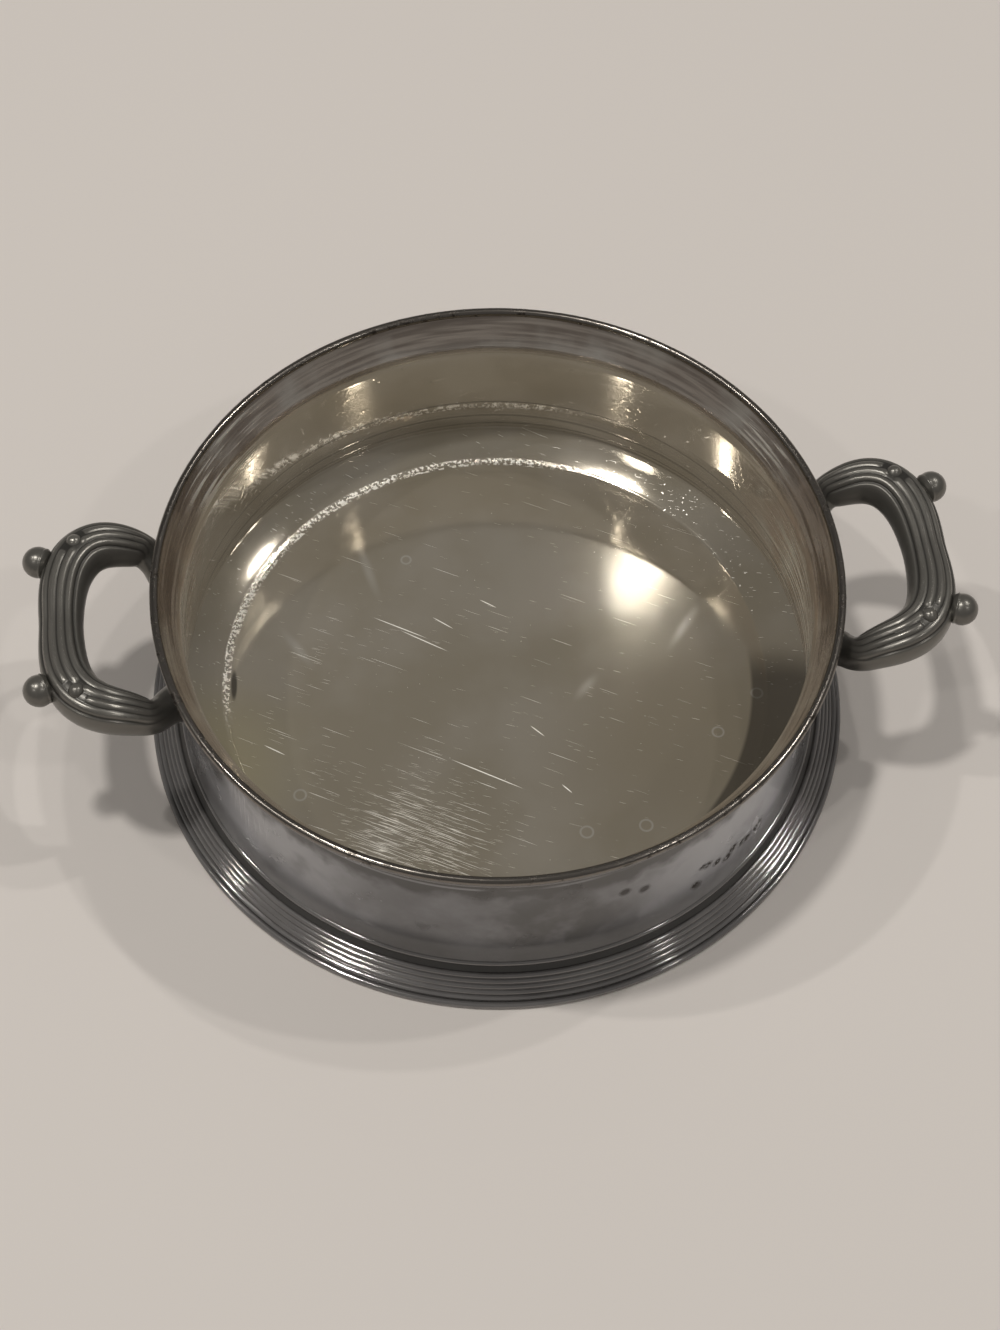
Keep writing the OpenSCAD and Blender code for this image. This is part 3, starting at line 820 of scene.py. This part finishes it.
@known
def pewter_skin(f, c, b):
    """Tarnish of the wall's outside: clouds, ripples, paler sides that are a painted reflection of the lit
    table, painted dark reflections under the rim and low down, spots and a line of pits.
    """
    z = f.height()
    clouds = f.noise(24, 5.0, roughness=0.6)
    f.base = f.blend(f.between(clouds, 0.3, 0.75), c.pewter, c.pewter_pale)
    stains = f.patches(15, 4.0, 0.6, 0.72, roughness=0.55)
    f.lay(c.pewter_stain_and_dark_reflection, stains, 0.3)
    upright = f.noise(1, 2.0, f.stretched((1 / 0.0014, 1 / 0.0014, 1 / 0.03)))
    ripples = f.times(f.between(upright, 0.5, 0.66), f.regions(WALL_RIPPLED))
    f.lay(c.pewter_worn_and_reflection, ripples, 0.6)
    # Paler sides: painted reflection of the lit table
    f.lay(c.pewter_worn_and_reflection, f.times(f.regions(WALL_TABLE_REFLECTION), f.patches(18, 3.0, 0.18, 0.52)), 0.95)

    # Painted dark reflection under the rim with a ragged lower edge, painted dark reflection of the foot low
    # down, and a real brown stain at the front
    ragged = f.plus(z, f.scaled(f.noise(9, 3.0), 14 * MM, -7 * MM))
    dark_reflection_under_rim = f.between(ragged, 43 * MM, 49 * MM)
    toe = f.without(f.between(z, 13 * MM, 25 * MM))
    brown = f.times(f.regions(WALL_BROWNED), f.patches(13, 3.0, 0.35, 0.6))
    f.lay(c.pewter_stain_and_dark_reflection, f.most(f.scaled(dark_reflection_under_rim, 0.85), f.scaled(toe, 0.6), f.scaled(brown, 0.75)))
    f.lay(c.pewter_worn_and_reflection, f.times(f.band(z, 52, 0.3, 0.7), f.patches(20, 2.0, 0.35, 0.6)), 0.35)
    f.lay(c.tarnish_deep, f.regions(WALL_JOINS))

    pits = f.most(*(f.near(place, 0.5 * size, 1.3 * size) for *place, size in WALL_PITS))
    pits = f.times(pits, f.patches(1.1, 2.0, 0.34, 0.48))
    dark = f.most(pits, f.regions(WALL_SPOTS))
    f.lay(c.dirt_and_dark_reflection, dark, 0.95)
    set_inputs(f.shader, {"Specular IOR Level": f.scaled(dark, -0.45, 0.5)})
    rough = f.scaled(f.between(clouds, 0.3, 0.8), 0.08, 0.16)
    rough = f.plus(rough, f.scaled(f.most(stains, dark), 0.2))
    waves = f.bump(f.noise(20, 2.0), 0.05)
    return f.done(rough, f.bump(pits, -0.05, f.bump(ripples, 0.03, waves)), metallic=0.3)


@known
def pewter_reeds(f, c, b):
    """Tarnish of the reeded foot and border: rubbed crests and dark grooves."""
    clouds = f.noise(14, 4.0)
    dull = f.blend(f.between(clouds, 0.35, 0.7), c.reed, c.reed_pale)
    uneven = f.plus(f.attribute("crest"), f.scaled(f.noise(1.3, 3.0), 0.4, -0.2))
    rubbed = f.between(uneven, 0.1, 0.7)
    f.base = f.blend(rubbed, c.reed_dark, dull)
    return f.done(f.scaled(rubbed, -0.16, 0.25), f.bump(clouds, 0.01), metallic=0.6)


@known
def cast_tarnish(f, c, b):
    """Dark skin of the cast handles: rubbed crests, darker grooves and a fine cast grain."""
    crest = f.attribute("crest")
    clouds = f.noise(9, 4.0)
    f.base = f.blend(f.between(crest, 0.0, 0.6), c.tarnish_deep, c.tarnish)
    worn = f.between(f.plus(crest, f.scaled(clouds, 0.9, -0.45)), 0.8, 1.2)
    f.lay(c.tarnish_worn, worn)
    relief = f.bump(f.noise(0.9, 3.0), 0.012, f.bump(clouds, 0.08))
    return f.done(f.scaled(worn, -0.08, 0.3), relief, metallic=0.62)


# Turned pieces


class BOWL_OT_wall(bpy.types.Operator):
    """Spins the waisted wall with its flared lip and base, dark outside and bright inside"""

    bl_idname = "bowl.wall"
    bl_label = "Side wall"

    def execute(self, context):
        b = bowl_lines(context)
        skin = Vector((-b.wall_t, 0.0))
        heights = [mix(b.foot_h, b.base.y, i / ARC_STEPS) for i in range(ARC_STEPS)]
        outer = [Vector((flared_r(b, z), z)) for z in heights]
        neck = bend(b.base, b.waist, b.lip, b.waist_bend)
        lip = line(neck[-1], b.lip, LIP_STEPS)[1:]
        outer += line(b.base, neck[0], WALL_STEPS) + neck + lip + [b.lip]
        toe_top = Vector((b.toe_in, b.seam_z + b.floor_t / 2))
        inner = [p + skin for p in (b.lip, *reversed(lip), *reversed(neck))]
        inner += line(neck[0] + skin, b.base + skin, WALL_STEPS)[1:]
        inner += line(b.base + skin, toe_top, LIP_STEPS) + [toe_top, Vector((b.toe_in, b.foot_h))]
        inside = [0.0] * len(outer) + [1.0] * len(inner)
        lining = polished_inside(context)
        mesh = turned("bowl_wall", outer + inner, pewter_skin(context), lining, inside=inside)
        place_piece("bowl_wall", mesh, ["side_wall"])
        return {"FINISHED"}


class BOWL_OT_floor(bpy.types.Operator):
    """Turns the flat floor with its raised edge"""

    bl_idname = "bowl.floor"
    bl_label = "Floor"

    def execute(self, context):
        b = bowl_lines(context)
        top = [Vector((b.floor_r * i / FLAT_STEPS, b.floor_z)) for i in range(FLAT_STEPS)]
        # Close points keep the flat's shading even up to the edge
        top += [Vector((b.floor_r - off, b.floor_z)) for off in (0.9, 0.3)]
        for i in range(EDGE_STEPS + 1):
            t = i / EDGE_STEPS
            top.append(Vector((mix(b.floor_r, b.toe_in, t), mix(b.floor_z, b.seam_z, t**FLOOR_CURL))))
        under = [p - Vector((0.0, b.floor_t)) for p in top]
        mesh = turned("bowl_floor", top + under[::-1], polished_floor(context))
        place_piece("bowl_floor", mesh, ["floor_pan"], sharp=50.0)
        return {"FINISHED"}


def border_profile(b):
    """Points and crest values of the fine reeds under the rim."""
    down = (b.waist - b.lip).normalized()
    out = Vector((-down.y, down.x))
    half = sqrt(max(0.0, b.border_r**2 - b.border_pitch**2 / 4))
    groove = atan2(half, b.border_pitch / 2)
    points, crest = [], []
    for i in range(b.border_reeds):
        centre = b.lip + down * (b.border_drop + i * b.border_pitch)
        first = 0.0 if i == 0 else groove
        last = pi if i == b.border_reeds - 1 else pi - groove
        for k in range(BORDER_STEPS + 1):
            t = mix(first, last, k / BORDER_STEPS)
            points.append(centre - down * (cos(t) * b.border_r) + out * (sin(t) * b.border_r))
            crest.append(sin(t))
    return points, crest


class BOWL_OT_rim(bpy.types.Operator):
    """Lays the worn bead on the lip, and the fine reeds under it"""

    bl_idname = "bowl.rim"
    bl_label = "Rim"

    def execute(self, context):
        b = bowl_lines(context)
        dip = atan2(-b.bead_seat, (b.wall_t + b.bead_land) / 2)
        bead = arc(Vector((b.rim_r, b.rim_z)), b.bead_r, dip, pi - dip, WIRE_STEPS)
        mesh = turned("rim_wire", bead, worn_bead(context), steps=RIM_STEPS, dent=0.08, dent_scale=300.0)
        place_piece("rim_wire", mesh, ["rim_bead"], sharp=60.0)

        points, crest = border_profile(b)
        mesh = turned("rim_reeds", points, pewter_reeds(context), crest=crest)
        place_piece("rim_reeds", mesh, ["rim_border"])
        return {"FINISHED"}


def skirt_profile(b):
    """Points and crest values of the foot's skirt: a ridge, a groove, fine reeds and a bold reed."""
    top = Vector((b.toe_out, b.foot_h - b.ridge_r))
    edge = Vector((b.wire_in, b.wire_c.y + b.ridge_r / 2))
    slope = (edge - top).length
    down = (edge - top) / slope
    out = Vector((-down.y, down.x))
    first = slope - 2 * b.bold_r - b.foot_pitch / 2
    rounds = [(first - i * b.foot_pitch, b.foot_reed_r) for i in range(b.foot_reeds)]
    rounds += [(0.0, b.ridge_r), (slope - b.bold_r, b.bold_r)]

    def raised(s):
        return max(sqrt(max(0.0, r * r - (s - c) ** 2)) for c, r in rounds)

    points = [Vector((b.toe_in, b.foot_h)), Vector((b.toe_out - SEAT_IN, b.foot_h))]
    crest = [0.5, 0.2]
    for k in range(RIDGE_SHOWN):
        t = pi / 2 * (1 - k / RIDGE_STEPS)
        points.append(top + Vector((cos(t), sin(t))) * b.ridge_r)
        crest.append(1.0)
    for k in range(SKIRT_STEPS + 1):
        s = mix(RIDGE_END * b.ridge_r, slope, k / SKIRT_STEPS)
        point = top + down * s + out * raised(s)
        if point.x < b.wire_in:
            points.append(point)
            crest.append(min(1.0, raised(s) / b.foot_reed_r))
    under = edge - out * b.flange_t
    inner = top - out * b.flange_t
    points += [Vector((b.wire_in, points[-1].y)), Vector((b.wire_in, b.wire_flat))]
    points += [Vector((under.x, b.wire_flat)), inner, Vector((b.toe_in, inner.y))]
    return points, crest + [0.4] * 5


class BOWL_OT_foot(bpy.types.Operator):
    """Turns the reeded skirt of the foot and the wire round its edge"""

    bl_idname = "bowl.foot"
    bl_label = "Foot"

    def execute(self, context):
        b = bowl_lines(context)
        finish = pewter_reeds(context)
        points, crest = skirt_profile(b)
        mesh = turned("foot_skirt", points, finish, crest=crest)
        place_piece("foot_skirt", mesh, ["foot_flange"], sharp=40.0)

        seat = acos(b.wire_seat / b.wire_r)
        sole = acos((b.wire_r - b.wire_flat) / b.wire_r) - pi / 2
        wire = arc(b.wire_c, b.wire_r, pi + seat, pi - sole, steps=6)
        wire += arc(b.wire_c, b.wire_r, sole, pi - seat, WIRE_STEPS)
        crest = [0.75] * len(wire)
        mesh = turned("foot_edge", wire, finish, crest=crest, dent=0.05, dent_scale=300.0)
        place_piece("foot_edge", mesh, ["foot_wire"], sharp=50.0)
        return {"FINISHED"}


# Handles


def loop_point(h, u):
    """Point of a handle's oval centre line, from the middle of the grip into the wall."""
    a = abs(u)
    v = a if a <= 1 else 2 - a
    n = mix(GRIP_SQUARE, ARM_SQUARE, smooth((a - SQUARE_FROM) / (SQUARE_TO - SQUARE_FROM)))
    k = ((1 - v) ** n + v**n) ** (-1 / n)
    x = h.loop_x + (1 if a <= 1 else -1) * h.loop_len * (1 - v) * k
    y = (1 if u > 0 else -1) * h.loop_half * v * k
    fall = max(0.0, (h.level_x - x) / (h.level_x - h.bowl.waist.x))
    return Vector((x, y, h.grip_z - h.arm_drop * fall**ARM_CURL))


def loop_frame(h, u):
    """Centre, outward and upward directions of the handle at u."""
    along = (loop_point(h, u + TINY) - loop_point(h, u - TINY)).normalized()
    outward = along.cross(Vector((0.0, 0.0, 1.0))).normalized()
    return loop_point(h, u), outward, outward.cross(along)


def half_width(h, u):
    """Half the width of the handle at u."""
    a = abs(u)
    if a < JOINT_AT:
        return mix(h.corner_w, h.grip_w, smooth(1 - a / JOINT_AT)) / 2
    foot = ARM_FOOT * smooth((a - FOOT_FROM) / (ARM_END - FOOT_FROM))
    taper = min(1.0, (a - JOINT_AT) / (TAPER_TO - JOINT_AT)) ** ARM_TAPER
    return mix(h.corner_w, h.arm_w, taper) / 2 + foot


def round_tip(t):
    """Height of a reed near its rounded end: 0 at the end and 1 further on."""
    t = min(1.0, max(0.0, t))
    return sqrt(1 - (1 - t) ** 2)


def reed_stands(u, reed):
    """How far a reed stands up at u: the second is cut at the stud, and the third dips there."""
    a = abs(u)
    if reed == 1:
        return round_tip((abs(a - CUT_AT) - CUT_HALF) / CUT_TIP)
    if reed == 2:
        return 1 - DIP_PART * (1 - smooth((abs(a - DIP_AT) - DIP_HALF) / DIP_EASE))
    return 1.0


def section(h, u, angle):
    """Distance from the centre line and crest value at u, in a direction given in degrees."""
    w = half_width(h, u)
    c, s = cos(radians(angle)), sin(radians(angle))
    r = ((abs(c) / w) ** SECTION_SQUARE + (abs(s) / w) ** SECTION_SQUARE) ** (-1 / SECTION_SQUARE)
    fade = smooth((PLAIN_TO - abs(u)) / (PLAIN_TO - PLAIN_FROM))
    place = (angle - REED_FROM) / (REED_TO - REED_FROM)
    if 0 <= place <= 1:
        reed = min(h.top_reeds - 1, int(place * h.top_reeds))
        crest = abs(sin(pi * h.top_reeds * place)) * reed_stands(u, reed)
        rubbed = crest
    else:
        past = min(abs(angle - REED_TO), abs(angle - 360 - REED_FROM))
        crest = smooth(past / FLANK)
        rubbed = crest * SIDE_CREST
    return r - h.reed_depth * fade * (1 - crest), mix(PLAIN_CREST, rubbed, fade)


def section_angles(h):
    """Directions round the section: close together over the reeds and their flanks."""
    stops = (
        (REED_FROM, REED_STEPS * h.top_reeds),
        (REED_TO, FLANK_STEPS),
        (REED_TO + FLANK, UNDER_STEPS),
        (REED_FROM + 360 - FLANK, FLANK_STEPS),
        (REED_FROM + 360, 0),
    )
    angles = []
    for (start, steps), (end, _) in zip(stops, stops[1:]):
        angles += [mix(start, end, i / steps) for i in range(steps)]
    return angles


def swept(name, h, places, finish):
    """A bar swept along the oval through the given places, ending on the wall where it reaches it."""
    angles = section_angles(h)
    n = len(angles)
    points, crests = [], []
    for u in places:
        centre, outward, upward = loop_frame(h, u)
        for angle in angles:
            r, crest = section(h, u, angle)
            p = centre + outward * (r * cos(radians(angle))) + upward * (r * sin(radians(angle)))
            reach = hypot(p.x, p.y)
            least = wall_r(h.bowl, p.z) + h.pad_t / 2
            if abs(u) > 1 and reach < least:
                p.x *= least / reach
                p.y *= least / reach
            points.append(p * MM)
            crests.append(crest)
    rows = len(places)
    faces = [
        (i * n + j, i * n + (j + 1) % n, (i + 1) * n + (j + 1) % n, (i + 1) * n + j)
        for i in range(rows - 1)
        for j in range(n)
    ]
    faces += [tuple(range(n)), tuple((rows - 1) * n + j for j in reversed(range(n)))]
    mesh = bpy.data.meshes.new(name)
    mesh.from_pydata(points, [], faces)
    mesh.attributes.new("crest", "FLOAT", "POINT").data.foreach_set("value", crests)
    mesh.polygons.foreach_set("use_smooth", [True] * len(faces))
    mesh.materials.append(finish)
    return mesh


def at_corner(mesh, side, end):
    """A copy of a right rear mesh for another corner: side -1 is left, end -1 is front."""
    copy = mesh.copy()
    copy.transform(Matrix.Diagonal((side, end, 1.0, 1.0)))
    if side * end < 0:
        copy.flip_normals()
    return copy


SIDES = (("left", -1), ("right", 1))
ENDS = (("front", -1), ("rear", 1))


class BOWL_OT_handles(bpy.types.Operator):
    """Casts the reeded grips and arms of both handles"""

    bl_idname = "bowl.handles"
    bl_label = "Handles"

    def execute(self, context):
        h = handle_lines(context)
        finish = cast_tarnish(context)
        places = [mix(-JOINT_AT, JOINT_AT, i / GRIP_STEPS) for i in range(GRIP_STEPS + 1)]
        grip = swept("grip", h, places, finish)
        places = [mix(JOINT_AT, ARM_END, i / ARM_STEPS) for i in range(ARM_STEPS + 1)]
        arm = swept("arm", h, places, finish)
        for side, sign in SIDES:
            place_piece(f"{side}_bar", at_corner(grip, sign, 1), [f"{side}_grip"], CAST_SHARP)
            for end, way in ENDS:
                corner = f"{side}_{end}"
                mesh = at_corner(arm, sign, way)
                place_piece(f"{corner}_bracket", mesh, [f"{corner}_arm"], CAST_SHARP)
                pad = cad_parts[f"{corner}_pad"].data.materials
                pad.clear()
                pad.append(finish)
        for mesh in (grip, arm):
            bpy.data.meshes.remove(mesh)
        return {"FINISHED"}


def ball_knob(h, finish):
    """A ball knob with its collar, at the right rear corner."""
    ball_r = h.knob_d / 2
    collar_z = -COLLAR_AT * h.knob_stand
    collar = Vector((sqrt(ball_r**2 - collar_z**2) - COLLAR_IN, collar_z - COLLAR_DOWN))
    end_z = -h.knob_stand - KNOB_SINK
    points = arc(Vector((0.0, 0.0)), ball_r, pi / 2, asin(collar_z / ball_r), steps=30)
    points = [Vector((max(0.0, p.x), p.y)) for p in points]
    points += arc(collar, COLLAR_R, radians(40), radians(-70), steps=6)
    points += [Vector((collar.x - COLLAR_STEP, end_z)), Vector((0.0, end_z))]
    mesh = turned("ball", points, finish, steps=BALL_STEPS, dent=0.14, dent_scale=330.0)
    centre, out, _ = loop_frame(h, KNOB_AT)
    spot = centre + out * (half_width(h, KNOB_AT) + h.knob_stand) + Vector((0.0, 0.0, h.knob_lift))
    turn = Vector((out.x, out.y, 0.0)).to_track_quat("Z", "Y").to_matrix().to_4x4()
    mesh.transform(Matrix.Translation(spot * MM) @ turn)
    return mesh


def domed_stud(h, finish):
    """A domed stud, rubbed on its crown, at the right rear corner."""
    r = h.stud_d / 2
    points = arc(Vector((0.0, h.stud_h - r)), r, pi / 2, 0.0, steps=16)
    points = [Vector((max(0.0, p.x), p.y)) for p in points]
    points += [Vector((r, -STUD_SINK)), Vector((0.0, -STUD_SINK))]
    crest = [0.95] * CROWN_POINTS + [0.35] * (len(points) - CROWN_POINTS)
    mesh = turned("dome", points, finish, crest=crest, steps=STUD_STEPS, dent=0.1, dent_scale=500.0)
    centre, out, _ = loop_frame(h, STUD_AT)
    seat = centre + out * h.stud_out + Vector((0.0, 0.0, half_width(h, STUD_AT) - h.stud_spot))
    mesh.transform(Matrix.Translation(seat * MM))
    return mesh


class BOWL_OT_knobs(bpy.types.Operator):
    """Turns the ball knobs and the domed studs of the corners"""

    bl_idname = "bowl.knobs"
    bl_label = "Knobs and studs"

    def execute(self, context):
        h = handle_lines(context)
        finish = cast_tarnish(context)
        ball = ball_knob(h, finish)
        dome = domed_stud(h, finish)
        for side, sign in SIDES:
            for end, way in ENDS:
                corner = f"{side}_{end}"
                for name, source, part in (("ball", ball, "knob"), ("dome", dome, "stud")):
                    mesh = at_corner(source, sign, way)
                    place_piece(f"{corner}_{name}", mesh, [f"{corner}_{part}"], CAST_SHARP)
        for mesh in (ball, dome):
            bpy.data.meshes.remove(mesh)
        return {"FINISHED"}


# Stage


def lay_table(scene):
    """Lays the pale table under the bowl."""
    mesh = bpy.data.meshes.new("table")
    corners = [(x * TABLE_HALF, y * TABLE_HALF, 0.0) for x, y in ((-1, -1), (1, -1), (1, 1), (-1, 1))]
    mesh.from_pydata(corners, [], [(0, 1, 2, 3)])
    table = bpy.data.objects.new("table", mesh)
    scene.collection.objects.link(table)
    board = bpy.data.materials.new("pale_table")
    board.use_nodes = True
    colour_rgba = (*scene.bowl_finishes.table, 1.0)
    looks = {"Base Color": colour_rgba, "Roughness": 0.6, "Specular IOR Level": 0.2}
    set_inputs(board.node_tree.nodes["Principled BSDF"], looks)
    mesh.materials.append(board)


def hang_lamps(scene):
    """Hangs the soft lamps, each turned to the bowl."""
    for name, at, size, power in LAMPS:
        data = bpy.data.lights.new(name, "AREA")
        data.shape = "DISK"
        data.size = size
        data.energy = power
        data.color = WARM_WHITE
        lamp = bpy.data.objects.new(name, data)
        lamp.location = at
        lamp.rotation_mode = "QUATERNION"
        lamp.rotation_quaternion = (-Vector(at)).to_track_quat("-Z", "Y")
        scene.collection.objects.link(lamp)


def light_room(scene):
    """Gives the room a plain light with two darker parts, which the silver mirrors."""
    world = bpy.data.worlds.new("soft_room")
    world.use_nodes = True
    tree = world.node_tree
    way = add(tree, "ShaderNodeTexCoord", out="Generated")
    up = add(tree, "ShaderNodeSeparateXYZ", {"Vector": way}, out="Z")
    level = eased(tree, up, 0.0, ROOM_RISE, ROOM_LOW, ROOM_HIGH)
    for direction, begin, full, left in DARK_PARTS:
        dim = eased(tree, dot(tree, way, direction), begin, full, 1.0, left)
        level = add(tree, "ShaderNodeMath", {0: level, 1: dim}, operation="MULTIPLY")
    set_inputs(tree.nodes["Background"], {"Color": (*WARM_WHITE, 1.0), "Strength": level})
    scene.world = world


def set_camera(scene):
    """Sets the camera where the photographed view was taken from."""
    data = bpy.data.cameras.new("camera")
    data.sensor_width = SENSOR
    data.lens = FOCAL_PX * SENSOR / FRAME_H_PX
    camera = bpy.data.objects.new("camera", data)
    up, back = (tuple(-v for v in way) for way in (CAMERA_DOWN, CAMERA_FORWARD))
    axes = Matrix((CAMERA_RIGHT, up, back)).transposed()
    camera.matrix_world = Matrix.Translation(CAMERA_AT) @ axes.to_4x4()
    scene.collection.objects.link(camera)
    scene.camera = camera


class BOWL_OT_stage(bpy.types.Operator):
    """Sets out the pale table, the soft lamps and the camera"""

    bl_idname = "bowl.stage"
    bl_label = "Stage"

    def execute(self, context):
        scene = context.scene
        scene.view_settings.view_transform = "Standard"
        lay_table(scene)
        hang_lamps(scene)
        light_room(scene)
        set_camera(scene)
        return {"FINISHED"}


class BOWL_PT_sidebar(bpy.types.Panel):
    """Lists the bowl's pieces, sizes and colours"""

    bl_idname = "BOWL_PT_sidebar"
    bl_label = "Two-handled bowl"
    bl_space_type = "VIEW_3D"
    bl_region_type = "UI"
    bl_category = "Bowl"

    def draw(self, context):
        for maker in MAKERS:
            self.layout.operator(maker.bl_idname)
        for group in (context.scene.bowl_sizes, context.scene.handle_sizes, context.scene.bowl_finishes):
            box = self.layout.box()
            for name in group.__annotations__:
                box.prop(group, name)


GROUPS = (("bowl_sizes", BowlSizes), ("handle_sizes", HandleSizes), ("bowl_finishes", BowlFinishes))
MAKERS = (
    BOWL_OT_stage,
    BOWL_OT_wall,
    BOWL_OT_floor,
    BOWL_OT_rim,
    BOWL_OT_foot,
    BOWL_OT_handles,
    BOWL_OT_knobs,
)


def register():
    """Registers the sizes, the makers and the panel."""
    for name, group in GROUPS:
        bpy.utils.register_class(group)
        setattr(bpy.types.Scene, name, PointerProperty(type=group))
    for cls in (*MAKERS, BOWL_PT_sidebar):
        bpy.utils.register_class(cls)


def unregister():
    """Takes them out again."""
    for cls in (BOWL_PT_sidebar, *reversed(MAKERS)):
        bpy.utils.unregister_class(cls)
    for name, group in reversed(GROUPS):
        delattr(bpy.types.Scene, name)
        bpy.utils.unregister_class(group)


def main():
    """Builds every piece in order."""
    register()
    bpy.ops.bowl.stage()
    bpy.ops.bowl.wall()
    bpy.ops.bowl.floor()
    bpy.ops.bowl.rim()
    bpy.ops.bowl.foot()
    bpy.ops.bowl.handles()
    bpy.ops.bowl.knobs()


if __name__ == "__main__":
    main()
